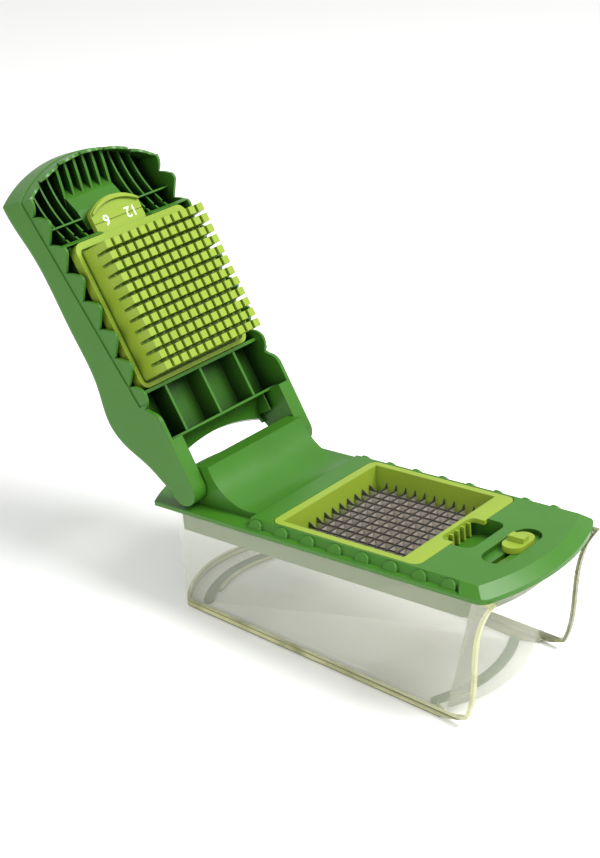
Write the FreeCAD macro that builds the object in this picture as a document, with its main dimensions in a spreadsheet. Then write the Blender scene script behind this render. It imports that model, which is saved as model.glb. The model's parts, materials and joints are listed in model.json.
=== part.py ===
"""A hand-operated vegetable dicer: clear bin, sloping green base, lime blade insert and hinged lever.

Lengths are in millimetres and angles in degrees.  Three frames are used:
  bin frame    X forward, Y to the left, Z up, origin under the middle of the bin's floor
  deck frame   origin in the middle of the blade grid at the insert's rim, Z square to the deck
  lever frame  origin on the hinge axis, X along the lever, Z away from the pins
"""
import FreeCAD
import Part
import Sketcher
import math
import os
from FreeCAD import Placement, Rotation, Vector

SIZES = (
    # bin
    ("bin_floor", 2.6), ("bin_wall", 2.4), ("bin_half_width_low", 42.4), ("bin_half_width_high", 44.2),
    ("bin_draft_height", 80), ("bin_rear_low", -99.7), ("bin_rear_high", -106.7), ("bin_rear_bow", 62),
    ("bin_round", 4), ("bin_front_low", 89.1), ("bin_front_high", 107.3), ("bin_front_bow", 80),
    ("rim_thickness", 2.4), ("rim_half_width", 44.2), ("rim_front", 94.5), ("rim_front_bow", 104),
    ("fin_foot", 92), ("fin_waist", 97), ("fin_rise", 5),
    ("strip_width", 5), ("strip_depth", 1.2), ("strip_half_length", 33),
    ("strip_front_bow", 78), ("strip_front_apex", 75.2), ("strip_rear_bow", 60), ("strip_rear_apex", -86.8),
    # deck plane
    ("deck_shift", 15), ("deck_height", 71.1), ("deck_tilt", 4.7),
    # base
    ("base_half_width", 46.5), ("base_front", 97), ("base_front_bow", 107), ("base_rear", -127),
    ("base_rear_bow", 90), ("base_corner", 6), ("skin", 2.4), ("flange_top", -4.2), ("flange_under", -6.5),
    ("platform_rear", -53.4), ("platform_half_width", 41.5), ("platform_foot", 44),
    ("crease_front", 90.5), ("crease_bow", 98), ("lip_rear", 73),
    ("bump_count", 8), ("bump_pitch", 16.45), ("bump_radius", 4.1), ("bump_proud", 1.5), ("bump_first", -48.4),
    ("skirt_depth", 19.5), ("skirt_wall", 2), ("skirt_clearance", 0.8),
    ("block_half_width", 36), ("block_height", 17), ("block_front", -84), ("block_rear", -94),
    ("hinge_along", -93.25), ("hinge_up", 5.45), ("pin_radius", 3.5), ("pin_clearance", 0.05),
    ("pin_outer_end", 43.4), ("boss_radius", 6.6), ("boss_inner_end", 29),
    # finger scoop and slider
    ("scoop_front", 58.5), ("scoop_half_width", 15), ("scoop_depth", 9),
    ("track_along", 72.7), ("track_half_width", 7.3), ("track_near_end", -21), ("track_far_end", 17),
    ("track_depth", 2.4), ("slot_width", 3), ("slot_near_end", -17), ("slot_far_end", 8),
    ("knob_length", 18), ("knob_width", 11.4), ("knob_across", 3), ("knob_thickness", 3), ("ridge_height", 2.4),
    ("ridge_width", 4.6), ("slide_clearance", 0.15), ("keeper_thickness", 1.8), ("keeper_length", 30),
    # blade insert
    ("cell_pitch", 6), ("cell_count", 12), ("grid_opening", 36.5), ("insert_rear", -41.3), ("insert_front", 47),
    ("insert_half_width", 40.2), ("insert_rim", 2.4), ("insert_wall", 2.7), ("insert_depth", 19),
    ("insert_corner", 5), ("seat_clearance", 0.3), ("notch_rear", 39.2), ("notch_half_width", 12.5),
    ("notch_depth", 10), ("blade_thickness", 0.4), ("blade_top", -10.6), ("blade_bottom", -18.6),
    ("blade_bite", 1.2), ("spike_height", 2.4), ("spike_length", 3.8), ("cross_spike_length", 2.2),
    # lever
    ("open_angle", 118.5), ("lever_half_low", 45.5), ("lever_half_high", 46.3), ("tip_rim", 178.5),
    ("tip_lean", 0.24), ("tip_bow", 79), ("lever_wall", 2.1), ("back_round", 4), ("arm_inner", 36.8), ("arm_radius", 7.6),
    ("lobe_count", 6), ("lobe_first", 58.2), ("lobe_pitch", 16.1), ("lobe_depth", 8.4), ("lobe_shoulder", 3.6), ("ledge_start", 1.6),
    ("ledge_rise", 0.1075), ("ledge_step", 0.6),
    ("skirt_edge", -5.8), ("skirt_bend", 84), ("skirt_rise", 0.125), ("tip_notch", 4), ("tip_edge", 7.8), ("corner_lobe", 163),
    ("pocket_floor", 12.6), ("rib_thickness", 1.1), ("tip_rib_pitch", 6.4), ("tip_rib_count", 12),
    # pusher
    ("pusher_half_width", 39.4), ("pusher_rear_margin", 39.2), ("pusher_front_margin", 40.5),
    ("pusher_offset", -0.2), ("pusher_thickness", 5.2), ("pusher_floor", 3.2), ("pusher_recess", 36.8),
    ("peg_root", 4.75), ("peg_tip", 4.1), ("peg_reach", 18), ("plinth_half_width", 35.4), ("plinth_reach", 8.5),
    ("plinth_wall", 1.8), ("tab_end", 151.5), ("tab_bow", 26), ("tab_half_width", 17), ("tab_top", 4.6),
    ("tab_thickness", 3),
)

os.makedirs("parts", exist_ok=True)
doc = FreeCAD.newDocument("dicer")
sheet = doc.addObject("Spreadsheet::Sheet", "Sizes")
for row, (alias, value) in enumerate(SIZES, start=1):
    sheet.set(f"A{row}", alias)
    sheet.set(f"B{row}", str(value))
    sheet.setAlias(f"B{row}", alias)
doc.recompute()
S = {alias: float(sheet.get(alias)) for alias, _ in SIZES}

UP = Vector(0, 0, 1)
ACROSS = Vector(0, 1, 0)
DECK = Placement(Vector(S["deck_shift"], 0, S["deck_height"]), Rotation(ACROSS, -S["deck_tilt"]))
HINGE = Placement(Vector(S["hinge_along"], 0, S["hinge_up"]), Rotation(ACROSS, -S["open_angle"]))
LEVER = DECK.multiply(HINGE)
FAR = 200.0
pieces = []


# ---------------------------------------------------------------- helpers
def add_shape(name, shape, placement=None):
    """Adds a finished solid to the document as a sub-part of its own."""
    piece = doc.addObject("Part::Feature", name)
    piece.Shape = shape.removeSplitter()
    if placement is not None:
        piece.Placement = placement
    pieces.append(piece)
    return piece


def block(x_low, x_high, y_low, y_high, z_low, z_high):
    return Part.makeBox(x_high - x_low, y_high - y_low, z_high - z_low, Vector(x_low, y_low, z_low))


def rounded_block(x_low, x_high, y_low, y_high, z_low, z_high, radius):
    solid = block(x_low, x_high, y_low, y_high, z_low, z_high)
    upright = [e for e in solid.Edges if abs(e.Vertexes[0].Z - e.Vertexes[1].Z) > 0.5 * (z_high - z_low)]
    return solid.makeFillet(radius, upright)


def sagitta(radius, half_width):
    return radius - math.sqrt(radius ** 2 - half_width ** 2)


def outline(half_width, rear, rear_bow, front, front_bow, level):
    """A closed outline with straight sides, a bowed front and a bowed or straight (rear_bow 0) rear."""
    rear_corner = rear + (sagitta(rear_bow, half_width) if rear_bow else 0)
    front_corner = front - sagitta(front_bow, half_width)
    near_rear = Vector(rear_corner, -half_width, level)
    near_front = Vector(front_corner, -half_width, level)
    far_front = Vector(front_corner, half_width, level)
    far_rear = Vector(rear_corner, half_width, level)
    edges = [Part.LineSegment(near_rear, near_front).toShape(),
             Part.Arc(near_front, Vector(front, 0, level), far_front).toShape(),
             Part.LineSegment(far_front, far_rear).toShape()]
    if rear_bow:
        edges.append(Part.Arc(far_rear, Vector(rear, 0, level), near_rear).toShape())
    else:
        edges.append(Part.LineSegment(far_rear, near_rear).toShape())
    return Part.Wire(edges)


def prism(wire, height):
    return Part.Face(wire).extrude(UP * height)


def ruled(low, high):
    return Part.makeLoft([low, high], True, True)


def side_plate(edges, half_width):
    """A profile drawn in the XZ plane, made solid across the object."""
    solid = Part.Face(Part.Wire(edges)).extrude(ACROSS * 2 * half_width)
    solid.translate(ACROSS * -half_width)
    return solid


def side_polygon(points, y_low, y_high):
    wire = Part.makePolygon([Vector(x, y_low, z) for x, z in points + points[:1]])
    return Part.Face(wire).extrude(ACROSS * (y_high - y_low))


def at(x, z):
    return Vector(x, 0, z)


def line(start, end):
    return Part.LineSegment(at(*start), at(*end)).toShape()


def arc(start, middle, end):
    return Part.Arc(at(*start), at(*middle), at(*end)).toShape()


def curve(points):
    spline = Part.BSplineCurve()
    spline.interpolate([at(*p) for p in points])
    return spline.toShape()


def grid_lines():
    """Blade positions: one between each pair of neighbouring cells."""
    count = int(S["cell_count"])
    return [S["cell_pitch"] * (i + 1 - count / 2) for i in range(count - 1)]


def mirrored(shape):
    return shape.mirror(Vector(0, 0, 0), ACROSS)


# ---------------------------------------------------------------- bin
def bin_section(level, inset, front_too=True):
    """The bin's plan outline at a height, moved inwards by inset."""
    share = level / S["bin_draft_height"]

    def between(low, high):
        return S[low] + share * (S[high] - S[low])
    return outline(between("bin_half_width_low", "bin_half_width_high") - inset,
                   between("bin_rear_low", "bin_rear_high") + inset, S["bin_rear_bow"] - inset,
                   between("bin_front_low", "bin_front_high") - inset, S["bin_front_bow"] - inset, level)


def bin_solid(inset, low, high):
    return ruled(bin_section(low, inset), bin_section(high, inset))


def below_deck(level):
    """Everything under a plane parallel to the deck."""
    space = block(-FAR, FAR, -FAR, FAR, -FAR, level)
    space.Placement = DECK
    return space


def strip_edges(apex, bow, side):
    """Centre of the bow and its half angle, for a strip that bulges to the given side."""
    centre = apex - side * bow
    return centre, math.asin(S["strip_half_length"] / bow)


def make_strip(name, apex_name, bow_name, side):
    """A curved soft strip, drawn as a sketch of two arcs with round ends and padded upwards."""
    body = doc.addObject("PartDesign::Body", name)
    sketch = body.newObject("Sketcher::SketchObject", name + "_outline")
    plane = [f for f in body.Origin.OriginFeatures if f.Role == "XY_Plane"][0]
    sketch.AttachmentSupport = (plane, [""])
    sketch.MapMode = "FlatFace"
    centre, half_angle = strip_edges(S[apex_name], S[bow_name], side)
    middle = 0 if side > 0 else math.pi
    low, high = middle - half_angle, middle + half_angle
    half = S["strip_width"] / 2
    heart = Vector(centre, 0, 0)
    for radius in (S[bow_name] + half, S[bow_name] - half):
        sketch.addGeometry(Part.ArcOfCircle(Part.Circle(heart, UP, radius), low, high))
    for angle, turn in ((low, -math.pi), (high, 0)):
        end = heart + Vector(math.cos(angle), math.sin(angle), 0) * S[bow_name]
        sketch.addGeometry(Part.ArcOfCircle(Part.Circle(end, UP, half), angle + turn, angle + turn + math.pi))
    pad = body.newObject("PartDesign::Pad", name + "_pad")
    pad.Profile = sketch
    pad.setExpression("Length", "Sizes.strip_depth")
    pieces.append(body)
    doc.recompute()
    return body.Shape.copy()


def fin_profile():
    """Side view of the fins: a foot that lifts, an S-shaped front edge and a square rear end."""
    foot, waist, rise = S["fin_foot"], S["fin_waist"], S["fin_rise"]
    front = [(foot, rise), (foot + 3, 15), (waist - 0.6, 31), (waist + 0.4, 48), (waist + 3.6, 61), (waist + 9, 71)]
    return [line((40, 0), (foot - 22, 0)), arc((foot - 22, 0), (foot - 10, 1.4), (foot, rise)), curve(front),
            line(front[-1], (waist + 9, 90)), line((waist + 9, 90), (40, 90)), line((40, 90), (40, 0))]


def make_bin():
    tall = S["bin_draft_height"]
    walls = bin_solid(0, 0, tall)
    rear = [e for e in walls.Edges if abs(e.Vertexes[0].Z - e.Vertexes[-1].Z) > tall / 2 and e.Vertexes[0].X < 0]
    walls = walls.makeFillet(S["bin_round"], rear)
    cavity = bin_solid(S["bin_wall"], S["bin_floor"], tall + 10)
    inner = [e for e in cavity.Edges if abs(e.Vertexes[0].Z - e.Vertexes[-1].Z) > tall / 2]
    cavity = cavity.makeFillet(S["bin_round"] / 2, inner)
    fins = ruled(outline(S["bin_half_width_low"], 40, 0, 120, 400, 0),
                 outline(S["bin_half_width_high"], 40, 0, 120, 400, tall))
    gap = ruled(outline(S["bin_half_width_low"] - S["bin_wall"], 20, 0, 140, 400, -1),
                outline(S["bin_half_width_high"] - S["bin_wall"], 20, 0, 140, 400, tall))
    fins = fins.common(side_plate(fin_profile(), 60)).cut(gap)
    rim_wire = outline(S["rim_half_width"] - 0.2, 45, 0, S["rim_front"], S["rim_front_bow"], 0)
    rim = prism(rim_wire, S["rim_thickness"])
    rim.Placement = DECK.multiply(Placement(Vector(0, 0, S["flange_under"] - S["rim_thickness"]), Rotation()))
    solid = walls.fuse([fins, rim]).cut(cavity).common(below_deck(S["flange_under"]))
    return solid


# ---------------------------------------------------------------- base
def ramp_profile(drop):
    """Side view of the ramp up to the hinge block; drop moves it inwards for the hollow under it."""
    rear, front, top = S["block_rear"], S["block_front"], S["block_height"]
    start = S["platform_rear"] + 2
    foot = S["flange_under"] - (FAR / 4 if drop else 0)
    crest = (front - drop, top - drop)
    back = (rear + drop / 2, top - 1.5 - drop)
    heel = (rear - 12 + 1.6 * drop, S["flange_top"])
    return [arc((start, -drop), (front + 8.6 - drop, 4.6 - drop), crest), line(crest, back), line(back, heel),
            line(heel, (heel[0], foot)), line((heel[0], foot), (start, foot)), line((start, foot), (start, -drop))]


def rounded_outline(level, height):
    wire = outline(S["base_half_width"], S["base_rear"], S["base_rear_bow"], S["base_front"],
                   S["base_front_bow"], level)
    solid = prism(wire, height)
    front = [e for e in solid.Edges
             if abs(e.Vertexes[0].Z - e.Vertexes[-1].Z) > 0.9 * height and e.Vertexes[0].X > 0]
    return solid.makeFillet(S["base_corner"], front)


def stadium(x_middle, half_width, y_low, y_high, z_low, z_high):
    return rounded_block(x_middle - half_width, x_middle + half_width, y_low, y_high, z_low, z_high,
                         half_width - 0.01)


def track_space(extra, z_low, z_high):
    return stadium(S["track_along"], S["track_half_width"] + extra, S["track_near_end"] - extra,
                   S["track_far_end"] + extra, z_low, z_high)


def scoop_space(extra, z_low, z_high):
    return rounded_block(S["notch_rear"] - 2 * extra, S["scoop_front"] + extra, -S["scoop_half_width"] - extra,
                         S["scoop_half_width"] + extra, z_low, z_high, 5)


def make_bumps():
    """Half-round pads that stand on the flange, against the deck's sloping sides."""
    run = S["platform_foot"] - S["platform_half_width"]
    fall, level = -S["flange_under"], S["flange_top"]
    out, up = fall / math.hypot(run, fall), run / math.hypot(run, fall)
    above = block(-FAR, FAR, -FAR, FAR, level - 1, FAR)
    bumps = []
    for i in range(int(S["bump_count"])):
        along = S["bump_first"] + i * S["bump_pitch"]
        for side in (-1, 1):
            facing = Vector(0, side * out, up)
            foot = Vector(along, side * (S["platform_half_width"] - level * run / fall), level)
            pad = Part.makeCylinder(S["bump_radius"], 2 + S["bump_proud"], foot - facing * 2, facing)
            outer = [e for e in pad.Edges if e.isClosed() and abs(e.Vertexes[0].Y) > abs(foot.y) + 0.5]
            if outer:
                pad = pad.makeFillet(0.4, outer)
            bumps.append(pad.common(above))
    return bumps


def make_skirt():
    """The wall that drops into the bin, cut parallel to the deck at top and bottom."""
    inset = S["bin_wall"] + S["skirt_clearance"]
    ring = bin_solid(inset, 0, S["bin_draft_height"]).cut(bin_solid(inset + S["skirt_wall"], -1, 90))
    ring = ring.common(below_deck(S["flange_top"] - 1)).cut(below_deck(-S["skirt_depth"]))
    ring.transformShape(DECK.inverse().toMatrix())
    return ring


def make_base():
    skin, under, top = S["skin"], S["flange_under"], S["flange_top"]
    flange = rounded_outline(under, top - under)
    platform = ruled(outline(S["platform_foot"], S["platform_rear"], 0, S["crease_front"], S["crease_bow"], under),
                     outline(S["platform_half_width"], S["platform_rear"] + 0.5, 0, S["crease_front"],
                             S["crease_bow"], 0))
    lip = ruled(outline(S["base_half_width"], S["lip_rear"] + 1, 0, S["base_front"], S["base_front_bow"], top),
                outline(S["platform_half_width"], S["lip_rear"] - 2, 0, S["crease_front"], S["crease_bow"], 0))
    ramp = side_plate(ramp_profile(0), S["block_half_width"])
    track_pan = track_space(2, -S["track_depth"] - 2.4, -1)
    scoop_pan = scoop_space(2, -S["scoop_depth"] - 2, -1)
    solid = flange.fuse([platform, lip, ramp, track_pan, scoop_pan] + make_bumps())
    solid = solid.common(rounded_outline(-FAR / 4, FAR / 2))
    bosses = [Part.makeCylinder(S["boss_radius"], S["block_half_width"] - S["boss_inner_end"],
                                Vector(S["hinge_along"], S["boss_inner_end"], S["hinge_up"]), ACROSS)]
    bosses.append(mirrored(bosses[0]))
    hollow = prism(outline(S["platform_half_width"] - skin, S["platform_rear"] + skin, 0,
                           S["crease_front"] - 2 * skin, S["crease_bow"], -FAR / 4), FAR / 4 - skin)
    ramp_hollow = side_plate(ramp_profile(skin), S["block_half_width"] - skin).cut(bosses[0]).cut(bosses[1])
    collar = block(S["insert_rear"] - 3, S["insert_front"] + 3, -S["insert_half_width"] - 1.6,
                   S["insert_half_width"] + 1.6, -S["insert_rim"] - 2.4, 0)
    hollow = hollow.fuse(ramp_hollow).cut(collar.fuse([track_pan, scoop_pan]))
    solid = solid.cut(hollow).fuse(make_skirt())
    gap = S["seat_clearance"]
    recess = rounded_block(S["insert_rear"] - gap, S["insert_front"] + gap, -S["insert_half_width"] - gap,
                           S["insert_half_width"] + gap, -S["insert_rim"] - 0.05, 5, S["insert_corner"])
    well = insert_body(gap, -FAR / 4, 5)
    slot = block(S["track_along"] - S["slot_width"] / 2, S["track_along"] + S["slot_width"] / 2,
                 S["slot_near_end"], S["slot_far_end"], -20, 0)
    pins = [Part.makeCylinder(S["pin_radius"], FAR, Vector(S["hinge_along"], S["boss_inner_end"] + 1.5,
                                                           S["hinge_up"]), ACROSS)]
    pins.append(mirrored(pins[0]))
    cutters = [recess, well, slot, track_space(0, -S["track_depth"], 5), scoop_space(0, -S["scoop_depth"], 5)]
    for cutter in cutters + pins:
        solid = solid.cut(cutter)
    return solid


# ---------------------------------------------------------------- slider
def make_knob():
    """Thumb piece: a pad drawn as a stadium, a ridge across it and a stem through the slot."""
    body = doc.addObject("PartDesign::Body", "slider_knob")
    plane = [f for f in body.Origin.OriginFeatures if f.Role == "XY_Plane"][0]
    half, reach = S["knob_width"] / 2, (S["knob_length"] - S["knob_width"]) / 2

    def sketched(name, geometry, level):
        sketch = body.newObject("Sketcher::SketchObject", name)
        sketch.AttachmentSupport = (plane, [""])
        sketch.MapMode = "FlatFace"
        sketch.AttachmentOffset = Placement(Vector(0, 0, level), Rotation())
        for item in geometry:
            sketch.addGeometry(item)
        return sketch

    def padded(sketch, length, reverse=False):
        pad = body.newObject("PartDesign::Pad", sketch.Name + "_pad")
        pad.Profile = sketch
        pad.setExpression("Length", length)
        pad.Reversed = reverse
        return pad

    def rectangle(half_x, half_y):
        corners = [Vector(-half_x, -half_y, 0), Vector(half_x, -half_y, 0), Vector(half_x, half_y, 0),
                   Vector(-half_x, half_y, 0)]
        return [Part.LineSegment(a, b) for a, b in zip(corners, corners[1:] + corners[:1])]
    ends = [Part.ArcOfCircle(Part.Circle(Vector(0, reach, 0), UP, half), 0, math.pi),
            Part.ArcOfCircle(Part.Circle(Vector(0, -reach, 0), UP, half), math.pi, 2 * math.pi)]
    sides = [Part.LineSegment(Vector(side * half, -reach, 0), Vector(side * half, reach, 0)) for side in (-1, 1)]
    padded(sketched("pad_outline", ends + sides, 0), "Sizes.knob_thickness")
    padded(sketched("ridge_outline", rectangle(half - 1.4, S["ridge_width"] / 2), 0),
           "Sizes.knob_thickness + Sizes.ridge_height")
    stem = S["slot_width"] / 2 - S["slide_clearance"]
    padded(sketched("stem_outline", rectangle(stem, 3), 0),
           "Sizes.skin + 2 * Sizes.slide_clearance + Sizes.keeper_thickness", True)
    body.Placement = DECK.multiply(Placement(knob_origin(), Rotation()))
    pieces.append(body)


def knob_origin():
    return Vector(S["track_along"], S["knob_across"], -S["track_depth"] + S["slide_clearance"])


def make_keeper():
    """Plate under the deck that the stem is pressed into; it closes the slot wherever the knob stands."""
    stem_half = S["slot_width"] / 2 - S["slide_clearance"]
    top = -S["track_depth"] - S["skin"] - S["slide_clearance"]
    near = S["knob_across"] - S["keeper_length"] * 0.72
    plate = rounded_block(S["track_along"] - 6, S["track_along"] + 6, near, near + S["keeper_length"],
                          top - S["keeper_thickness"], top, 2)
    stem = block(S["track_along"] - stem_half, S["track_along"] + stem_half, S["knob_across"] - 3,
                 S["knob_across"] + 3, top - 10, top + 10)
    return plate.cut(stem)


# ---------------------------------------------------------------- blade insert
def insert_body(extra, z_low, z_high):
    wall = S["grid_opening"] + S["insert_wall"] + extra
    return rounded_block(-wall, wall, -wall, wall, z_low, z_high, 3)


def lengthwise_outline(spike, slots_from_top):
    """Edge view of one blade, X along it: bitten into the walls, spiked at both ends, half-lapped."""
    reach, opening = S["grid_opening"] + S["blade_bite"], S["grid_opening"]
    top, bottom = S["blade_top"], S["blade_bottom"]
    middle = (top + bottom) / 2
    half_slot = S["blade_thickness"] / 2 + 0.05
    slots = []
    for place in grid_lines():
        edge = top if slots_from_top else bottom
        slots += [(place - half_slot, edge), (place - half_slot, middle), (place + half_slot, middle),
                  (place + half_slot, edge)]
    spikes = [(-reach, top), (-opening + 0.1, top), (-opening + 0.3, top + S["spike_height"]),
              (-opening + spike, top)]
    right = [(-x, z) for x, z in reversed(spikes)]
    if slots_from_top:
        return spikes + slots + right + [(reach, bottom), (-reach, bottom)]
    return spikes + right + [(reach, bottom)] + slots[::-1] + [(-reach, bottom)]


def make_blade(name, points, placement):
    """One strip of steel: its edge view is sketched and padded to the blade's thickness."""
    body = doc.addObject("PartDesign::Body", name)
    sketch = body.newObject("Sketcher::SketchObject", name + "_outline")
    plane = [f for f in body.Origin.OriginFeatures if f.Role == "XZ_Plane"][0]
    sketch.AttachmentSupport = (plane, [""])
    sketch.MapMode = "FlatFace"
    corners = [Vector(x, z, 0) for x, z in points]
    sketch.addGeometry([Part.LineSegment(a, b) for a, b in zip(corners, corners[1:] + corners[:1])])
    pad = body.newObject("PartDesign::Pad", name + "_pad")
    pad.Profile = sketch
    pad.setExpression("Length", "Sizes.blade_thickness")
    pad.SideType = "Symmetric"
    body.Placement = placement
    pieces.append(body)


def make_blades():
    lengthwise = lengthwise_outline(S["spike_length"], True)
    crosswise = lengthwise_outline(S["cross_spike_length"], False)
    quarter_turn = Rotation(UP, 90)
    for number, place in enumerate(grid_lines(), start=1):
        make_blade(f"blade_lengthwise_{number:02d}", lengthwise,
                   DECK.multiply(Placement(Vector(0, place, 0), Rotation())))
        make_blade(f"blade_crosswise_{number:02d}", crosswise,
                   DECK.multiply(Placement(Vector(place, 0, 0), quarter_turn)))


def make_insert():
    rim = rounded_block(S["insert_rear"], S["insert_front"], -S["insert_half_width"], S["insert_half_width"],
                        -S["insert_rim"], 0, S["insert_corner"])
    walls = insert_body(0, -S["insert_depth"], -S["insert_rim"])
    opening = S["grid_opening"]
    solid = rim.fuse(walls).cut(block(-opening, opening, -opening, opening, -FAR, FAR))
    notch = rounded_block(S["notch_rear"], FAR, -S["notch_half_width"], S["notch_half_width"],
                          -S["notch_depth"], 5, 3.5)
    solid = solid.cut(notch)
    ribs = []
    for step in range(-2, 3):
        place = step * 4.6
        ribs.append(block(S["notch_rear"] - 1, S["notch_rear"] + 2, place - 0.6, place + 0.6,
                          0.4 - S["scoop_depth"], -1.4))
    solid = solid.fuse(ribs)
    bite, half = opening + S["blade_bite"], S["blade_thickness"] / 2
    seats = []
    for place in grid_lines():
        seats.append(block(-bite, bite, place - half, place + half, S["blade_bottom"], S["blade_top"]))
        seats.append(block(place - half, place + half, -bite, bite, S["blade_bottom"], S["blade_top"]))
    return solid.cut(Part.makeCompound(seats))


# ---------------------------------------------------------------- lever
def pusher_middle():
    return S["pusher_offset"] - S["hinge_along"]


def lever_roof(drop):
    """The lever's back, from the hinge to the tip, moved inwards by drop."""
    points = [(-3, 7), (6, 12.5), (18, 18), (32, 27), (46, 31), (66, 26.8), (95, 26), (140, 27), (164, 31),
              (182, 27.5), (192, 20)]
    return [(x, z - drop) for x, z in points]


def skirt_level(along):
    """Lower edge of the lever's side wall: straight, then rising towards the tip."""
    return S["skirt_edge"] + max(0, along - S["skirt_bend"]) * S["skirt_rise"]


def lobe(start, end, crest):
    """Edges of one lobe: a slope up from one notch, a round crest and a steep shoulder into the next."""
    low = (start[0] + 0.44 * (end[0] - start[0]), crest + 0.8)
    shoulder = (end[0] - S["lobe_shoulder"], crest + 2.2)
    top = ((low[0] + shoulder[0]) / 2 + 0.4, crest - 0.2)
    bend = (end[0] - 0.35 * S["lobe_shoulder"], shoulder[1] + 0.55 * (end[1] - shoulder[1]))
    return [line(start, low), arc(low, top, shoulder), arc(shoulder, bend, end)]


def lobed_edge():
    """Lobes along the lower edge of the side wall, with a sharp notch between each two."""
    edges, start = [], (S["lobe_first"], S["skirt_edge"] + S["lobe_depth"])
    first = start
    for i in range(int(S["lobe_count"])):
        end_along = S["lobe_first"] + (i + 1) * S["lobe_pitch"]
        end = (end_along, skirt_level(end_along) + S["lobe_depth"])
        middle = (start[0] + end_along) / 2
        edges += lobe(start, end, skirt_level(middle))
        start = end
    return first, edges, start


def tip_notches():
    """What the notches between the lobes take out of the tip's edge, seen from the front."""
    pitch, crest, depth = S["lobe_pitch"], S["tip_edge"], S["tip_notch"]
    stations = [pitch * i for i in range(-3, 4)]
    edges = []
    for low, high in zip(stations, stations[1:]):
        edges += [arc((low, crest + depth), (low + 2.1, crest + 0.29 * depth), (low + 7.4, crest)),
                  line((low + 7.4, crest), (high - 7.4, crest)),
                  arc((high - 7.4, crest), (high - 2.1, crest + 0.29 * depth), (high, crest + depth))]
    ends = (stations[0], crest + depth), (stations[-1], crest + depth)
    below = crest - 20
    edges += [line(ends[1], (ends[1][0], below)), line((ends[1][0], below), (ends[0][0], below)),
              line((ends[0][0], below), ends[0])]
    space = Part.Face(Part.Wire(edges)).extrude(ACROSS * (S["tip_rim"] + 20 - S["corner_lobe"]))
    space.rotate(Vector(0, 0, 0), UP, 90)
    space.translate(Vector(S["tip_rim"] + 20, 0, 0))
    return space


def lever_section(level, inset):
    share = (level + 12) / 46
    half = S["lever_half_low"] + share * (S["lever_half_high"] - S["lever_half_low"])
    front = S["tip_rim"] + (level - 10) * S["tip_lean"]
    return outline(half - inset, -20, 0, front - inset, S["tip_bow"] - inset, level)


def lever_profile():
    radius = S["arm_radius"]
    lobe_start, lobes, lobe_end = lobed_edge()
    roof = lever_roof(0)
    shoulder, dip, ear = (36.3, -8.4), (45, -1.6), (52.5, -5.7)
    edges = [line((0, -radius), shoulder), arc(shoulder, (40, -7), (42.5, -4)), line((42.5, -4), dip),
             arc(dip, (48.5, -5), ear), arc(ear, (56.4, -2.8), lobe_start)] + lobes
    tip = S["tip_edge"] - 1
    edges += [arc(lobe_end, (lobe_end[0] + 2.2, tip + 1.8), (lobe_end[0] + 6, tip)),
              line((lobe_end[0] + 6, tip), (192, tip)), line((192, tip), roof[-1]), curve(roof[::-1])]
    edges.append(arc(roof[0], (-radius, 0.5), (0, -radius)))
    return edges


def under_roof(drop, start, end, floor):
    """Space under the lever's roof between two places along it."""
    curve_edge = curve(lever_roof(drop))
    roof = lever_roof(drop)
    edges = [curve_edge, line(roof[-1], (192, floor)), line((192, floor), (-3, floor)), line((-3, floor), roof[0])]
    space = side_plate(edges, 60)
    return space.common(block(start, end, -60, 60, -60, 60))


def lobe_strip():
    """What is taken off the outer sides below a ledge, so that the lobed strip stands back a little."""
    step, low, high, first = S["ledge_step"], 47, 196, S["ledge_start"]
    rise = first + (high - low) * S["ledge_rise"]
    below = side_polygon([(low, -30), (high, -30), (high, rise), (low, first)], -60, 60)
    return below.cut(ruled(lever_section(-12, step), lever_section(34, step)))


def lever_outside():
    """The lever's outer form with its back rounded, and the notches in its lower edge."""
    solid = ruled(lever_section(-12, 0), lever_section(34, 0)).common(side_plate(lever_profile(), 60))
    solid = solid.removeSplitter()
    back = []
    for edge in solid.Edges:
        box, middle = edge.BoundBox, edge.valueAt((edge.FirstParameter + edge.LastParameter) / 2)
        on_side = box.XLength > 100 and abs(middle.y) > 44 and middle.z > 18
        on_tip = box.YLength > 60 and middle.x > 150 and middle.z > 14
        if on_side or on_tip:
            back.append(edge)
    solid = solid.makeFillet(S["back_round"], back)
    return solid.cut(lobe_strip()).cut(tip_notches())


def lever_web():
    """Cove between the hinge-side cross wall and the roof, whose lower edge is arched."""
    edges = [line((26.5, -0.6), (25.3, -0.6)), arc((25.3, -0.6), (23.6, 7.5), (12, 12.2)),
             line((12, 12.2), (12, 16)), line((12, 16), (26.5, 22)), line((26.5, 22), (26.5, -0.6))]
    web = side_plate(edges, S["arm_inner"] - 2.6)
    corners = [Vector(-20, -35, 0), Vector(13.2, -35, 0), Vector(19.5, 0, 0), Vector(13.2, 35, 0),
               Vector(-20, 35, 0)]
    arch = Part.Wire([Part.LineSegment(corners[0], corners[1]).toShape(), Part.Arc(*corners[1:4]).toShape(),
                      Part.LineSegment(corners[3], corners[4]).toShape(),
                      Part.LineSegment(corners[4], corners[0]).toShape()])
    return web, prism(arch, 50)


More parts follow.
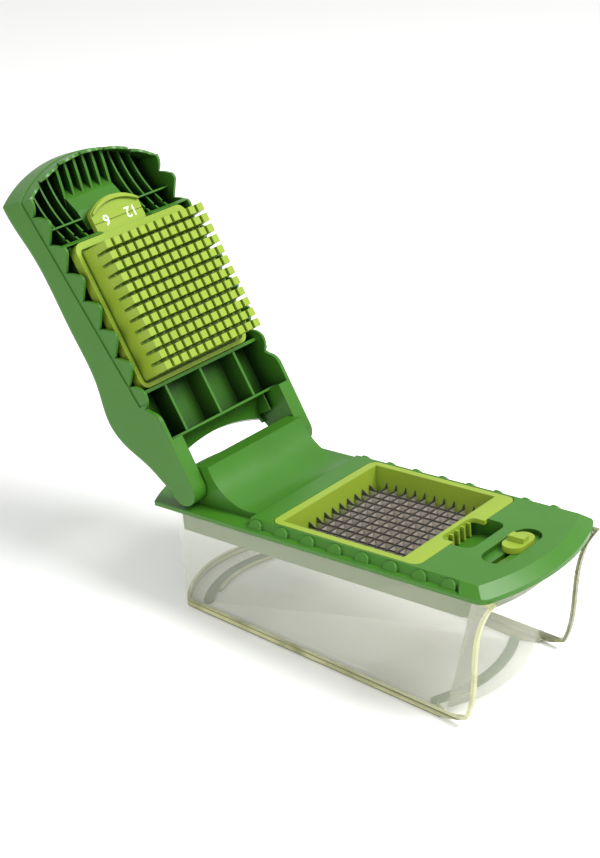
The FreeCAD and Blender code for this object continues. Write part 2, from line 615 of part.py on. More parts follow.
def lever_ribs():
    """Cross walls, lengthwise ribs, the pocket's floor and the tip's ribs, before they are trimmed."""
    thin, middle = S["rib_thickness"], pusher_middle()
    seat_rear = middle - S["pusher_rear_margin"] - S["seat_clearance"]
    seat_front = middle + S["pusher_front_margin"] + S["seat_clearance"]
    opening = S["tab_half_width"] + 0.4
    ribs = [block(seat_rear - 1.8, seat_rear, -60, 60, -0.6, 40), block(25.3, 26.6, -60, 60, -0.6, 40),
            block(seat_front, seat_front + 1.8, -60, -opening, -0.6, 40),
            block(seat_front, seat_front + 1.8, opening, 60, -0.6, 40),
            block(seat_front, seat_front + 1.8, -60, 60, S["tab_top"] + S["tab_thickness"] + 0.4, 40),
            block(26, seat_rear, -60, 60, S["pocket_floor"], S["pocket_floor"] + 1.8)]
    for side in (-1, 1):
        for near, far, start, end, level in ((36.6, 38.4, seat_rear, seat_front, S["pusher_thickness"] + 0.1),
                                             (18.5, 60, 145, 146, 9.5), (33.4, 34.2, 15.8, 26, 2.5)):
            low, high = sorted((side * near, side * far))
            ribs.append(block(start, end, low, high, level, 40))
    for i in range(int(S["tip_rib_count"])):
        ribs.append(tip_rib((i - (S["tip_rib_count"] - 1) / 2) * S["tip_rib_pitch"], seat_front))
    pad = [(139, 11), (150, 13), (158, 16.5), (168, 23), (168, 40), (139, 40)]
    ribs.append(side_polygon(pad, -16.5, 16.5))
    return ribs


def pocket_ribs():
    """Three lengthwise ribs between the hinge-side cross walls."""
    thin, seat_rear = S["rib_thickness"] * 0.7, pusher_middle() - S["pusher_rear_margin"] - S["seat_clearance"]
    return [block(26, seat_rear, place - thin, place + thin, 0, S["pocket_floor"] + 1) for place in (-25.5, 0, 25.5)]


def make_lever():
    wall, inner = S["lever_wall"], S["arm_inner"]
    outer = lever_outside()
    walls_inside = ruled(lever_section(-12, wall), lever_section(34, wall))
    cavity = walls_inside.common(under_roof(wall, 26, 192, -20))
    arm_space = block(-20, 27, -inner, inner, -20, 40).common(under_roof(wall, -3, 27, -20))
    web, arch = lever_web()
    shell = outer.cut(cavity).cut(arm_space).fuse(web.common(outer)).cut(arch)
    shell = shell.cut(block(-20, 11, -inner, inner, -20, 40))
    room = ruled(lever_section(-12, wall - 0.2), lever_section(34, wall - 0.2))
    room = room.common(under_roof(wall - 0.2, 12, 192, -20))
    ribs = [rib.common(room) for rib in pocket_ribs()] + [rib.common(room.common(outer)) for rib in lever_ribs()]
    shell = shell.fuse(ribs)
    bore_start = inner - 1
    bore = Part.makeCylinder(S["pin_radius"] + S["pin_clearance"], S["pin_outer_end"] + 0.3 - bore_start,
                             Vector(0, bore_start, 0), ACROSS)
    return shell.cut(bore).cut(mirrored(bore))


def tip_rib(place, seat_front):
    """One lengthwise rib inside the tip; the middle ones are thick and stop behind the tab."""
    thick = S["rib_thickness"]
    start, low_start, low_middle = seat_front + 1, 5.5, 15.5
    if abs(place) < S["tab_half_width"] + 1:
        thick, start, low_start, low_middle = 1.5 * thick, S["tab_end"] + 2, 19, 15
    points = [(start, 40), (start, low_start)]
    end = (S["tip_rim"] + 12, 11)
    rib = [line(points[0], points[1]), arc(points[1], ((start + end[0]) / 2 - 4, low_middle), end),
           line(end, (end[0], 40)), line((end[0], 40), points[0])]
    solid = Part.Face(Part.Wire(rib)).extrude(ACROSS * thick)
    solid.translate(Vector(0, place - thick / 2, 0))
    return solid


# ---------------------------------------------------------------- pusher
def square(half, level):
    return Part.makePolygon([Vector(x * half, y * half, level)
                             for x, y in ((-1, -1), (1, -1), (1, 1), (-1, 1), (-1, -1))])


def make_tab(start):
    """Thumb tab with a bowed end, a raised rim along it and a score line across."""
    half, top, end, bow = S["tab_half_width"], S["tab_top"], S["tab_end"], S["tab_bow"]
    tab = prism(outline(half, start - 9, 0, end, bow, top), S["tab_thickness"])
    corners = [e for e in tab.Edges if abs(e.Vertexes[0].Z - e.Vertexes[-1].Z) > 2 and e.Vertexes[0].X > start]
    tab = tab.makeFillet(3, corners)
    rim = prism(outline(half - 0.8, start + 4, 0, end - 0.5, bow - 0.5, top - 1.8), 2.8)
    rim = rim.cut(prism(outline(half + 5, start, 0, end - 2.9, bow + 5, top - 3), 8))
    score = block(start + 5.6, start + 6.1, -half - 1, half + 1, top - 1, top + 0.4)
    return tab.cut(score).fuse(rim)


def make_pusher():
    middle, count = pusher_middle(), int(S["cell_count"])
    plate = rounded_block(middle - S["pusher_rear_margin"], middle + S["pusher_front_margin"],
                          -S["pusher_half_width"], S["pusher_half_width"], 0, S["pusher_thickness"], 5)
    recess = rounded_block(middle - S["pusher_recess"], middle + S["pusher_recess"], -S["pusher_recess"],
                           S["pusher_recess"], -1, S["pusher_floor"], 2)
    reach = S["plinth_half_width"]
    plinth = block(middle - reach, middle + reach, -reach, reach, -S["plinth_reach"], S["pusher_floor"] + 0.5)
    inside = reach - S["plinth_wall"]
    hollow = block(middle - inside, middle + inside, -inside, inside, S["plinth_wall"] - S["plinth_reach"], 40)
    solid = plate.cut(recess).fuse([plinth, make_tab(middle + S["pusher_front_margin"])]).cut(hollow)
    peg = ruled(square(S["peg_tip"] / 2, -S["peg_reach"]), square(S["peg_root"] / 2, 0.4 - S["plinth_reach"]))
    pegs = []
    for row in range(count):
        for column in range(count):
            copy = peg.copy()
            copy.translate(Vector(middle + (row - (count - 1) / 2) * S["cell_pitch"],
                                  (column - (count - 1) / 2) * S["cell_pitch"], 0))
            pegs.append(copy)
    return solid.fuse(pegs)


# ---------------------------------------------------------------- assembly
front_strip = make_strip("grip_strip_front", "strip_front_apex", "strip_front_bow", 1)
rear_strip = make_strip("grip_strip_rear", "strip_rear_apex", "strip_rear_bow", -1)
add_shape("container", make_bin().cut(front_strip).cut(rear_strip))
add_shape("base_frame", make_base(), DECK)
for name, side in (("hinge_pin_near", -1), ("hinge_pin_far", 1)):
    pin = doc.addObject("Part::Cylinder", name)
    pin.setExpression("Radius", "Sizes.pin_radius")
    pin.setExpression("Height", "Sizes.pin_outer_end - Sizes.boss_inner_end - 1.5")
    start = Vector(S["hinge_along"], side * (S["boss_inner_end"] + 1.5), S["hinge_up"])
    pin.Placement = DECK.multiply(Placement(start, Rotation(UP, ACROSS * side)))
    pieces.append(pin)
make_knob()
add_shape("slider_keeper", make_keeper(), DECK)
add_shape("blade_insert", make_insert(), DECK)
make_blades()
add_shape("lever_shell", make_lever(), LEVER)
add_shape("pusher_insert", make_pusher(), LEVER)
doc.recompute()

for item in doc.Objects:
    if "Invalid" in item.State or "Error" in item.State:
        raise RuntimeError(f"{item.Name} failed: {item.State}")
for piece in pieces:
    shape = piece.Shape
    if shape.isNull() or not shape.isValid() or not shape.Solids:
        raise RuntimeError(f"{piece.Label} has no valid shape")
for piece in pieces:
    print(piece.Label, len(piece.Shape.Solids), round(piece.Shape.Volume / 1000, 2), "cm3")
    piece.Shape.exportStep(f"parts/{piece.Label}.step")
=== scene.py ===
"""A hand-operated vegetable dicer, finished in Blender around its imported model."""
import json
import math

import bpy
from mathutils import Matrix, Vector


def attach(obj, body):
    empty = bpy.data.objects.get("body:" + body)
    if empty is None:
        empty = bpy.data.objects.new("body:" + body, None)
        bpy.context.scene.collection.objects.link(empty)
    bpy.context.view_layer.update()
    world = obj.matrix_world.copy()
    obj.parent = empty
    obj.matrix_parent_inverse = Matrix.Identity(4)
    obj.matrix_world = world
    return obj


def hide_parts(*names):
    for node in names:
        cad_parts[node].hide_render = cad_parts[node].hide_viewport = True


bl_info = {
    "name": "Vegetable Dicer",
    "version": (1, 0, 0),
    "blender": (4, 5, 0),
    "location": "View3D > Sidebar > Dicer",
    "description": "Finishes a hand-operated vegetable dicer: plastics, blades, markings and stage",
    "category": "Add Mesh",
}

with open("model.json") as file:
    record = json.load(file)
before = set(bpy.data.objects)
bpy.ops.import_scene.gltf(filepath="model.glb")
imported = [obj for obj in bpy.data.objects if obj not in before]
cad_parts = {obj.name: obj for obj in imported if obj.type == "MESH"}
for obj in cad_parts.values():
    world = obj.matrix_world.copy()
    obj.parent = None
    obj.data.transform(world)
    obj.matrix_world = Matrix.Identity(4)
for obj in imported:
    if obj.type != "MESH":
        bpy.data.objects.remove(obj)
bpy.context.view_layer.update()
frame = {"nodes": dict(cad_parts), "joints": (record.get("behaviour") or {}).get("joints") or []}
NODES = frame["nodes"]

# ---------------------------------------------------------------- places on the dicer, in metres
DECK_LEAN = math.radians(4.7)
DECK_UP = Vector((-math.sin(DECK_LEAN), 0, math.cos(DECK_LEAN)))
DECK_HEIGHT = DECK_UP.dot(Vector((0.015, 0, 0.0711)))
BLADE_DROP = 0.0106         # the blades' upper edges lie this far below the deck
# the skirt region below is where the base's green gets painted shade
SKIRT_DROP = 0.0066         # the skirt begins this far below the deck
SKIRT_INNER_WIDTH = 0.036   # half the width and half the length inside which
SKIRT_INNER_LENGTH = 0.085  # the underside of the base is not skirt

BAND_TOP = 0.0036           # top of the tinted band round the bin's floor
BAND_DEPTH = 0.0017         # how deep the tinted edges reach into the plastic
BAND_INWARD = -0.96         # solidify offset: nearly all of the depth goes inwards
BAND_TRIM = 0.00002         # what sticks out under the floor is cut off here
FIN_SIDE, FIN_REAR = 0.0385, 0.06
FOOT_REAR, FOOT_TOP = 0.071, 0.012
FLOOR_SIDE, FLOOR_REAR = 0.038, -0.08
RIM_LOW = 0.05
BIN_SMOOTH = math.radians(28)

LEVER_OPEN = math.radians(118.5)
TAB_REACH = 0.1400          # from the hinge to the middle of the pusher's tab
TAB_FACE = 0.00455          # from the hinge's level to the tab's face
NUMERALS = (("6", -0.0085), ("12", 0.009))
NUMERAL_SIZE, NUMERAL_THICKNESS = 0.0082, 0.00006


# ---------------------------------------------------------------- sizes and colours
class DicerColours(bpy.types.PropertyGroup):
    green: bpy.props.FloatVectorProperty(
        name="Green", description="Colour of the base and lever", subtype="COLOR", size=3, min=0, max=1,
        default=(0.034, 0.132, 0.010))
    lime: bpy.props.FloatVectorProperty(
        name="Lime", description="Colour of the inserts and slider", subtype="COLOR", size=3, min=0, max=1,
        default=(0.20, 0.285, 0.024))
    steel: bpy.props.FloatVectorProperty(
        name="Steel", description="Colour of the blades and pins", subtype="COLOR", size=3, min=0, max=1,
        default=(0.52, 0.48, 0.43))
    clear: bpy.props.FloatVectorProperty(
        name="Clear plastic", description="Tint of the bin", subtype="COLOR", size=3, min=0, max=1,
        default=(0.70, 0.72, 0.58))
    clear_edge: bpy.props.FloatVectorProperty(
        name="Clear edge", description="Tint of the bin's edges", subtype="COLOR", size=3, min=0, max=1,
        default=(0.10, 0.105, 0.042))
    grip: bpy.props.FloatVectorProperty(
        name="Grip", description="Colour of the soft strips under the bin", subtype="COLOR", size=3, min=0,
        max=1, default=(0.035, 0.11, 0.02))
    # painted shade: the skirt is the same green plastic as the base; this darker, greyer colour paints its
    # shade inside the bin and the greyness of the bin wall in front of it
    skirt_shade: bpy.props.FloatVectorProperty(
        name="Skirt", description="Colour of the base's skirt inside the bin", subtype="COLOR", size=3, min=0,
        max=1, default=(0.07, 0.105, 0.035))
    floor: bpy.props.FloatVectorProperty(
        name="Floor", description="Colour of the floor", subtype="COLOR", size=3, min=0, max=1,
        default=(0.90, 0.90, 0.89))


class StageSizes(bpy.types.PropertyGroup):
    camera_place: bpy.props.FloatVectorProperty(
        name="Camera place", description="Where the camera stands", subtype="TRANSLATION", unit="LENGTH",
        default=(0.4907, -0.6209, 0.5029))
    turn: bpy.props.FloatProperty(
        name="Turn", description="Direction that the camera looks in, 0 along +Y", subtype="ANGLE",
        default=math.radians(40.36))
    tilt: bpy.props.FloatProperty(
        name="Tilt", description="How far the camera looks down", subtype="ANGLE",
        default=math.radians(26.33))
    roll: bpy.props.FloatProperty(
        name="Roll", description="Roll of the camera about its line of sight", subtype="ANGLE",
        default=math.radians(-1.31))
    focal: bpy.props.FloatProperty(
        name="Focal length", description="Focal length on a sensor of 36 mm, in millimetres", default=77.5)
    shift: bpy.props.FloatVectorProperty(
        name="Shift", description="Shift of the picture, as a part of its longer side", size=2,
        default=(-0.006, -0.0027))
    room_light: bpy.props.FloatProperty(
        name="Room light", description="Strength of the even light from all sides", min=0, default=0.76)
    key_power: bpy.props.FloatProperty(
        name="Key light", description="Power of the light high above the front end", unit="POWER", min=0,
        default=27)
    fill_power: bpy.props.FloatProperty(
        name="Fill light", description="Power of the low light on the near side", unit="POWER", min=0,
        default=10)
    floor_drop: bpy.props.FloatProperty(
        name="Floor drop", description="Gap that keeps the floor clear of the bin's underside",
        subtype="DISTANCE", unit="LENGTH", min=0, default=0.0003)


# ---------------------------------------------------------------- materials
class Value:
    """A shader socket that can be used in arithmetic."""

    def __init__(self, recipe, socket):
        self.recipe, self.socket = recipe, socket

    def __mul__(self, other):
        return self.recipe.maths("MULTIPLY", self, other)

    __rmul__ = __mul__

    def __sub__(self, other):
        return self.recipe.maths("SUBTRACT", self, other)

    def __rsub__(self, other):
        return self.recipe.maths("SUBTRACT", other, self)

    def __abs__(self):
        return self.recipe.maths("ABSOLUTE", self, 0.0)


class Recipe:
    """A material under construction: one shader and the nodes that feed it."""

    def __init__(self, name):
        self.material = bpy.data.materials.new(name)
        self.material.use_nodes = True
        self.tree = self.material.node_tree
        self.tree.nodes.clear()
        self.place = self.node("ShaderNodeTexCoord", {}, {}, "Object")

    def node(self, kind, settings, values, output=0):
        """Adds a node, sets it, feeds its sockets and gives one of its outputs, if it has any."""
        node = self.tree.nodes.new(kind)
        for key, setting in settings.items():
            setattr(node, key, setting)
        for key, value in values.items():
            self.link(node.inputs[key], value)
        return Value(self, node.outputs[output]) if node.outputs else None

    def link(self, socket, value):
        if isinstance(value, Value):
            self.tree.links.new(value.socket, socket)
        elif isinstance(value, tuple) and len(value) == 3 and socket.type == "RGBA":
            socket.default_value = (*value, 1)
        else:
            socket.default_value = value

    def maths(self, operation, first, second):
        return self.node("ShaderNodeMath", {"operation": operation}, {0: first, 1: second})

    def larger(self, first, second):
        return self.maths("MAXIMUM", first, second)

    def noise(self, scale, detail=3.0):
        return self.node("ShaderNodeTexNoise", {},
                         {"Vector": self.place, "Scale": scale, "Detail": detail, "Roughness": 0.5})

    def range(self, value, from_low, from_high, to_low, to_high):
        return self.node("ShaderNodeMapRange", {"clamp": True},
                         {0: value, 1: from_low, 2: from_high, 3: to_low, 4: to_high})

    def mix(self, factor, first, second):
        return self.node("ShaderNodeMix", {"data_type": "RGBA"}, {0: factor, 6: first, 7: second}, 2)

    def bump(self, height, strength, distance):
        return self.node("ShaderNodeBump", {},
                         {"Height": height, "Strength": strength, "Distance": distance})

    def soft_edges(self, height, strength, distance, radius):
        """A bump whose starting normal is rounded over sharp corners."""
        rounded = self.node("ShaderNodeBevel", {"samples": 4}, {"Radius": radius})
        return self.node("ShaderNodeBump", {},
                         {"Height": height, "Strength": strength, "Distance": distance, "Normal": rounded})

    def openness(self, distance):
        """1 on open faces, falling towards 0 deep in pockets and between ribs; this masks the painted shade.
        """
        return self.node("ShaderNodeAmbientOcclusion", {"samples": 8, "only_local": True},
                         {"Distance": distance}, "AO")

    def facing(self, blend):
        return self.node("ShaderNodeLayerWeight", {}, {"Blend": blend}, "Facing")

    def along(self, direction):
        """Distance of a point along a direction, in metres."""
        return self.node("ShaderNodeVectorMath", {"operation": "DOT_PRODUCT"},
                         {0: self.place, 1: direction}, "Value")

    def finish(self, values):
        shader = self.node("ShaderNodeBsdfPrincipled", {}, values)
        self.node("ShaderNodeOutputMaterial", {}, {"Surface": shader})
        return self.material


def shade(colour, factor):
    """A lighter or darker version of a colour."""
    return tuple(min(1.0, channel * factor) for channel in colour)


def moulded(name, colour, rough, spread, grain, gloss, depth, skirt_shade=None):
    """Moulded plastic: faint cloudiness, fine grain, slightly uneven gloss, softened corners and painted
    shade in deep pockets.

    Depth is how bright the painted shade in deep pockets stays. The skirt colour, if given, is painted on the
    part inside the bin as painted shade and the greyness of the bin wall in front of it.
    """
    recipe = Recipe(name)
    cloud = recipe.noise(28.0, 2.0)
    speck = recipe.noise(1400.0, 2.0)
    clouded = recipe.range(cloud, 0.3, 0.7, 0.0, 1.0)
    tint = recipe.mix(clouded, shade(colour, 1 - spread), shade(colour, 1 + spread))
    # painted shade: deep pockets and the gaps between ribs are painted a darker, bluer green, masked by the
    # ambient occlusion below
    pocket_shade = (colour[0] * depth, colour[1] * depth * 1.25, colour[2] * depth * 1.6)
    tint = recipe.mix(recipe.range(recipe.openness(0.03), 0.12, 0.72, 0.0, 1.0), pocket_shade, tint)
    # painted shade on the skirt inside the bin: below the deck and outside the inner rectangle the green
    # gives way to the painted shade colour
    if skirt_shade:
        top = DECK_HEIGHT - SKIRT_DROP
        lower = recipe.range(recipe.along(DECK_UP), top - 0.0002, top, 1.0, 0.0)
        sideways = abs(recipe.along((0, 1, 0))) * (1 / SKIRT_INNER_WIDTH)
        lengthwise = abs(recipe.along((1, 0, 0))) * (1 / SKIRT_INNER_LENGTH)
        outer = recipe.range(recipe.larger(sideways, lengthwise), 0.99, 1.0, 0.0, 1.0)
        tint = recipe.mix(lower * outer, tint, skirt_shade)
    roughness = recipe.range(recipe.noise(90.0), 0.3, 0.7, rough - 0.04, rough + 0.04)
    return recipe.finish({"Base Color": tint, "Specular IOR Level": 0.22, "Roughness": roughness,
                          "Coat Weight": gloss, "Coat Roughness": 0.2,
                          "Normal": recipe.soft_edges(speck, grain, 0.0002, 0.0006)})


def clear_plastic(colour):
    """Clear bin wall: nearly see-through face on, whiter and glossier at a slant."""
    recipe = Recipe("clear bin plastic")
    haze = recipe.noise(18.0)
    slant = recipe.facing(0.35)
    return recipe.finish({"Base Color": colour, "Roughness": recipe.range(haze, 0.3, 0.7, 0.03, 0.08),
                          "Alpha": recipe.range(slant, 0.0, 1.0, 0.045, 0.27), "IOR": 2.2,
                          "Normal": recipe.bump(recipe.noise(40.0, 2.0), 0.03, 0.0005)})


def clear_edge(colour):
    """The bin's edges, where the plastic is seen through its whole depth: cream, with painted olive shade
    lines along the foot and near the top of the floor's band, and painted shade on the far side.
    """
    recipe = Recipe("clear bin edge")
    streak = recipe.noise(38.0)
    height = recipe.along((0, 0, 1))
    # painted shade: olive lines along the foot and near the top of the floor's band
    foot_shade_line = recipe.range(height, 0.0005, 0.0008, 1.0, 0.0)
    top_shade_line = recipe.range(abs(height - 0.0031), 0.0002, 0.0005, 1.0, 0.0)
    # painted shade: the edges on the far side are painted darker
    far_side_shade = recipe.range(recipe.along((0, 1, 0)), 0.030, 0.034, 0.0, 0.85)
    cream = recipe.mix(recipe.range(streak, 0.36, 0.50, 0.0, 1.0), shade(colour, 2.2), (0.46, 0.47, 0.25))
    tint = recipe.mix(recipe.larger(foot_shade_line, top_shade_line), cream, shade(colour, 1.6))
    tint = recipe.mix(far_side_shade, tint, shade(colour, 1.5))
    return recipe.finish({"Base Color": tint, "Roughness": 0.12, "IOR": 1.6,
                          "Alpha": recipe.range(streak, 0.3, 0.7, 0.97, 0.8),
                          "Normal": recipe.bump(streak, 0.05, 0.0005)})


def blade_steel(colour):
    """Dull rolled steel whose upper edge is painted near-black: painted shade and dark reflection along the
    sharpened edge.
    """
    recipe = Recipe("blade steel")
    stretched = recipe.node("ShaderNodeMapping", {}, {"Vector": recipe.place, "Scale": (300, 300, 3000)})
    streak = recipe.node("ShaderNodeTexNoise", {}, {"Vector": stretched, "Scale": 1.0, "Detail": 3.0})
    tint = recipe.mix(recipe.range(streak, 0.3, 0.7, 0.0, 1.0), shade(colour, 0.8), shade(colour, 1.2))
    # painted shade and dark reflection: the top of each blade is painted near-black and made less metallic
    top = DECK_HEIGHT - BLADE_DROP
    edge = recipe.range(recipe.along(DECK_UP), top - 0.0011, top - 0.0007, 0.0, 1.0)
    return recipe.finish({"Base Color": recipe.mix(edge, tint, shade(colour, 0.09)),
                          "Metallic": recipe.range(edge, 0.0, 1.0, 0.55, 0.2),
                          "Roughness": recipe.range(streak, 0.3, 0.7, 0.38, 0.55)})


def white_print():
    """Slightly worn white printing."""
    recipe = Recipe("white print")
    worn = recipe.range(recipe.noise(900.0), 0.35, 0.6, 0.0, 1.0)
    return recipe.finish({"Base Color": recipe.mix(worn, (0.80, 0.82, 0.72), (0.93, 0.94, 0.88)),
                          "Roughness": 0.5})


def studio_floor(colour):
    """Plain matt floor, very faintly uneven."""
    recipe = Recipe("floor")
    return recipe.finish({
        "Base Color": recipe.mix(recipe.noise(3.0, 2.0), shade(colour, 0.99), shade(colour, 1.01)),
        "Roughness": 0.55})


# ---------------------------------------------------------------- pieces
def dress(node, material):
    for slot in NODES[node].material_slots:
        slot.material = material


def only(obj):
    """Makes obj the one selected and active object."""
    bpy.ops.object.select_all(action="DESELECT")
    obj.select_set(True)
    bpy.context.view_layer.objects.active = obj


def edit_all():
    """Opens the active object for editing with everything selected."""
    bpy.ops.object.mode_set(mode="EDIT")
    bpy.ops.mesh.select_all(action="SELECT")


def copied(node, name):
    """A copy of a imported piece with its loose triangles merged."""
    piece = bpy.data.objects.new(name, NODES[node].data.copy())
    bpy.context.scene.collection.objects.link(piece)
    piece.data.materials.clear()
    only(piece)
    edit_all()
    bpy.ops.mesh.remove_doubles(threshold=0.00001)
    bpy.ops.mesh.dissolve_limited(angle_limit=math.radians(0.6))
    bpy.ops.object.mode_set(mode="OBJECT")
    return piece


def shows_edge(centre, normal):
    """Whether a face of the bin is one of its edges: fin fronts, feet, the floor's rim and the top rim."""
    on_fin = abs(centre.y) > FIN_SIDE and abs(normal.y) < 0.3
    fin_front = on_fin and centre.x > FIN_REAR and normal.x > 0.15
    foot = on_fin and centre.x > FOOT_REAR and centre.z < FOOT_TOP and normal.z < -0.2
    side = abs(centre.y) > FLOOR_SIDE and normal.y * centre.y > 0 and abs(normal.y) > 0.6
    rear = centre.x < FLOOR_REAR and normal.x < -0.25
    floor_band = centre.z < BAND_TOP and abs(normal.z) < 0.5 and (side or rear)
    rim = centre.z > RIM_LOW and normal.z > 0.8
    return fin_front or foot or floor_band or rim


def numeral(text, place, turned):
    """One printed numeral as a thin mesh at its place."""
    bpy.ops.object.select_all(action="DESELECT")
    bpy.ops.object.text_add(location=(0, 0, 0))
    letters = bpy.context.object
    letters.data.body, letters.data.size, letters.data.extrude = text, NUMERAL_SIZE, NUMERAL_THICKNESS
    letters.data.align_x, letters.data.align_y = "CENTER", "CENTER"
    only(letters)
    bpy.ops.object.convert(target="MESH")
    letters = bpy.context.object
    letters.matrix_world = Matrix.Translation(place) @ turned
    only(letters)
    bpy.ops.object.transform_apply(location=True, rotation=True, scale=True)
    return letters


class DICER_OT_dress(bpy.types.Operator):
    """Gives every carried-over piece its finish"""
    bl_idname = "dicer.dress"
    bl_label = "Finishes"

    def execute(self, context):
        colours = context.scene.dicer_colours
        green, lime, skirt_shade = tuple(colours.green), tuple(colours.lime), tuple(colours.skirt_shade)
        lever = moulded("green moulded plastic", green, 0.34, 0.06, 0.06, 0.15, 0.12)
        inserts = moulded("lime moulded plastic", lime, 0.36, 0.05, 0.06, 0.12, 0.75)
        steel = blade_steel(tuple(colours.steel))
        base = moulded("green moulded base", green, 0.34, 0.06, 0.06, 0.15, 0.12, skirt_shade)
        grip = moulded("soft grip", tuple(colours.grip), 0.6, 0.08, 0.2, 0.0, 0.8)
        for name in NODES:
            if name.startswith(("blade_lengthwise", "blade_crosswise", "hinge_pin")):
                dress(name, steel)
            elif name.startswith("grip"):
                dress(name, grip)
            elif name == "base_frame":
                dress(name, base)
            elif name == "lever_shell":
                dress(name, lever)
            elif name != "container":
                dress(name, inserts)
        return {"FINISHED"}


class DICER_OT_bin(bpy.types.Operator):
    """Makes the clear bin and the tinted bands where its plastic is seen end on"""
    bl_idname = "dicer.bin"
    bl_label = "Bin"

    def execute(self, context):
        colours = context.scene.dicer_colours
        piece = copied("container", "clear_bin")
        edit_all()
        bpy.ops.mesh.bisect(plane_co=(0, 0, BAND_TOP), plane_no=(0, 0, 1))
        bpy.ops.mesh.select_all(action="SELECT")
        bpy.ops.mesh.quads_convert_to_tris()
        bpy.ops.object.mode_set(mode="OBJECT")
        piece.data.materials.append(clear_plastic(tuple(colours.clear)))
        for face in piece.data.polygons:
            face.select = shows_edge(face.center, face.normal)
        context.tool_settings.mesh_select_mode = (False, False, True)
        only(piece)
        bpy.ops.object.mode_set(mode="EDIT")
        bpy.ops.mesh.duplicate()
        bpy.ops.mesh.separate(type="SELECTED")
        bpy.ops.object.mode_set(mode="OBJECT")
        band = [obj for obj in context.selected_objects if obj != piece][0]
        band.name = "clear_bin_edges"
        only(band)
        bpy.ops.object.modifier_add(type="SOLIDIFY")
        thick = band.modifiers[-1]
        thick.thickness, thick.offset = BAND_DEPTH, BAND_INWARD
        bpy.ops.object.modifier_apply(modifier=thick.name)
        edit_all()
        bpy.ops.mesh.bisect(plane_co=(0, 0, BAND_TRIM), plane_no=(0, 0, 1), clear_inner=True, use_fill=True,
                            threshold=0.000001)
        bpy.ops.object.mode_set(mode="OBJECT")
        band.data.materials.clear()
        band.data.materials.append(clear_edge(tuple(colours.clear_edge)))
        for finished in (piece, band):
            only(finished)
            bpy.ops.object.shade_smooth_by_angle(angle=BIN_SMOOTH)
            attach(finished, "bin")
        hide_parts("container")
        return {"FINISHED"}


class DICER_OT_numerals(bpy.types.Operator):
    """Prints two white numerals on the pusher's tab"""
    bl_idname = "dicer.numerals"
    bl_label = "Numerals"

    def execute(self, context):
        hinge = next(joint["pos_m"] for joint in frame["joints"] if joint["name"] == "lever_hinge")
        turn = -(LEVER_OPEN + DECK_LEAN)
        along = Vector((math.cos(turn), 0, -math.sin(turn)))
        away = Vector((math.sin(turn), 0, math.cos(turn)))
        turned = Matrix((Vector((0, -1, 0)), -along, -away)).transposed().to_4x4()
        made = []
        for text, across in NUMERALS:
            place = Vector(hinge) + along * TAB_REACH + Vector((0, across, 0)) + away * TAB_FACE
            made.append(numeral(text, place, turned))
        bpy.ops.object.select_all(action="DESELECT")
        for letters in made:
            letters.select_set(True)
        context.view_layer.objects.active = made[0]
        bpy.ops.object.join()
        piece = context.object
        piece.name = "tab_numerals"
        piece.data.materials.clear()
        piece.data.materials.append(white_print())
        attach(piece, "pusher")
        return {"FINISHED"}


# ---------------------------------------------------------------- stage
def add_area(name, place, aim, size, watts):
    """A round soft light that points at a place."""
    light = bpy.data.lights.new(name, "AREA")
    light.shape, light.size, light.energy = "DISK", size, watts
    holder = bpy.data.objects.new(name, light)
    bpy.context.scene.collection.objects.link(holder)
    holder.location = place
    holder.rotation_euler = (Vector(aim) - Vector(place)).to_track_quat("-Z", "Y").to_euler()


def add_camera(sizes):
    """The camera, turned about the vertical, tilted down and rolled about its line of sight."""
    back = Vector((math.sin(sizes.turn) * math.cos(sizes.tilt), -math.cos(sizes.turn) * math.cos(sizes.tilt),
                   math.sin(sizes.tilt)))
    right = Vector((math.cos(sizes.turn), math.sin(sizes.turn), 0))
    up = back.cross(right)
    across = right * math.cos(sizes.roll) + up * math.sin(sizes.roll)
    upward = up * math.cos(sizes.roll) - right * math.sin(sizes.roll)
    camera = bpy.data.cameras.new("camera")
    camera.lens, camera.sensor_width, camera.sensor_fit = sizes.focal, 36, "AUTO"
    camera.clip_start = 0.02
    camera.shift_x, camera.shift_y = sizes.shift
    holder = bpy.data.objects.new("camera", camera)
    bpy.context.scene.collection.objects.link(holder)
    turned = Matrix((across, upward, back)).transposed().to_4x4()
    holder.matrix_world = Matrix.Translation(Vector(sizes.camera_place)) @ turned
    bpy.context.scene.camera = holder


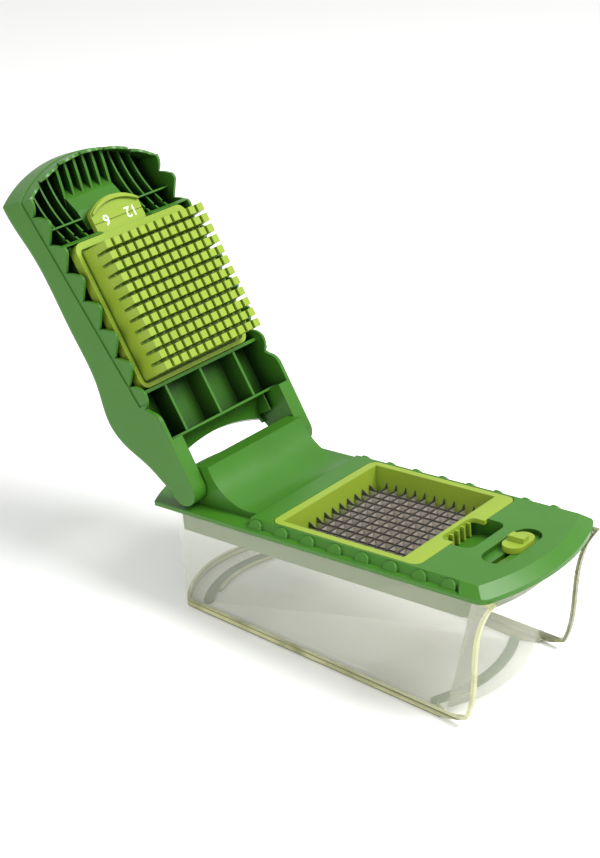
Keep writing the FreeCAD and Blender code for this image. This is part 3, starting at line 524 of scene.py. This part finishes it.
class DICER_OT_stage(bpy.types.Operator):
    """Adds the floor, the soft lights and the camera"""
    bl_idname = "dicer.stage"
    bl_label = "Stage"

    def execute(self, context):
        sizes = context.scene.dicer_stage
        bpy.ops.object.select_all(action="DESELECT")
        bpy.ops.mesh.primitive_plane_add(size=12, location=(0, 0, -sizes.floor_drop))
        floor = context.object
        floor.name = "floor"
        floor.data.materials.append(studio_floor(tuple(context.scene.dicer_colours.floor)))
        world = bpy.data.worlds.new("soft room")
        world.use_nodes = True
        background = world.node_tree.nodes["Background"]
        background.inputs["Color"].default_value = (1, 1, 1, 1)
        background.inputs["Strength"].default_value = sizes.room_light
        context.scene.world = world
        context.scene.view_settings.view_transform = "Standard"
        add_area("key light", (0.66, 0.30, 1.15), (-0.02, 0, 0.08), 0.8, sizes.key_power)
        add_area("fill light", (0.3, -1.3, 0.5), (0, 0, 0.05), 1.0, sizes.fill_power)
        add_camera(sizes)
        return {"FINISHED"}


class DICER_PT_panel(bpy.types.Panel):
    """Lists the colours, the stage's sizes and the steps that build the dicer"""
    bl_idname = "DICER_PT_panel"
    bl_label = "Vegetable Dicer"
    bl_space_type = "VIEW_3D"
    bl_region_type = "UI"
    bl_category = "Dicer"

    def draw(self, context):
        for group in (context.scene.dicer_colours, context.scene.dicer_stage):
            for name in type(group).__annotations__:
                self.layout.prop(group, name)
        for operator in OPERATORS:
            self.layout.operator(operator.bl_idname)


OPERATORS = (DICER_OT_dress, DICER_OT_bin, DICER_OT_numerals, DICER_OT_stage)
CLASSES = (DicerColours, StageSizes) + OPERATORS + (DICER_PT_panel,)


def register():
    for item in CLASSES:
        bpy.utils.register_class(item)
    bpy.types.Scene.dicer_colours = bpy.props.PointerProperty(type=DicerColours)
    bpy.types.Scene.dicer_stage = bpy.props.PointerProperty(type=StageSizes)


def unregister():
    del bpy.types.Scene.dicer_stage
    del bpy.types.Scene.dicer_colours
    for item in reversed(CLASSES):
        bpy.utils.unregister_class(item)


def main():
    register()
    bpy.ops.dicer.dress()
    bpy.ops.dicer.bin()
    bpy.ops.dicer.numerals()
    bpy.ops.dicer.stage()


if __name__ == "__main__":
    main()
